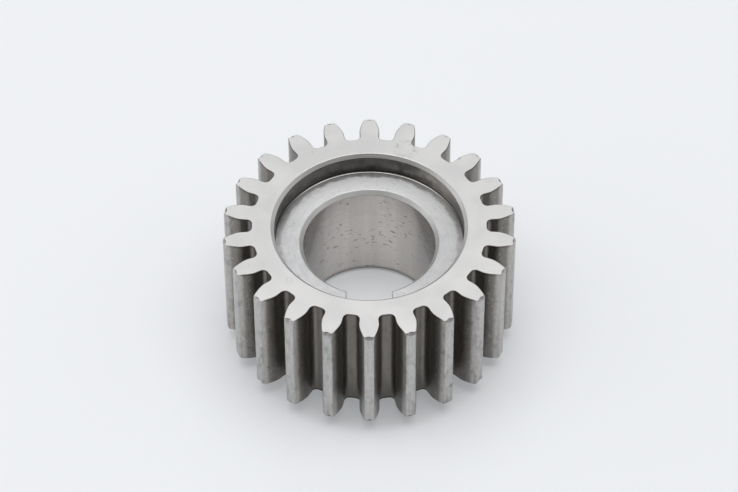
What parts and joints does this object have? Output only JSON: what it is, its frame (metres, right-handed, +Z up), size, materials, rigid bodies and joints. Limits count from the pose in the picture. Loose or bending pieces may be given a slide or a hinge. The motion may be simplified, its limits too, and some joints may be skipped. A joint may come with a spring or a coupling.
{
  "type": "planet gear",
  "caption": "Steel spur gear with a plain bore, a recess round it at one end, a slot through the shoulder and a short hub below.",
  "frame": {"origin": "on the bore's axis, in the plane of the hub face that the gear stands on", "axes": "+Z up along the bore, out of the recess; the slot and one tooth centre lie towards -Y"},
  "size_m": [0.0966, 0.0974, 0.048],
  "materials": {
    "gear_steel": "ground faces, satin teeth"
  },
  "bodies": {
    "root": {"planet_gear": "gear_steel"}
  },
  "joints": []
}
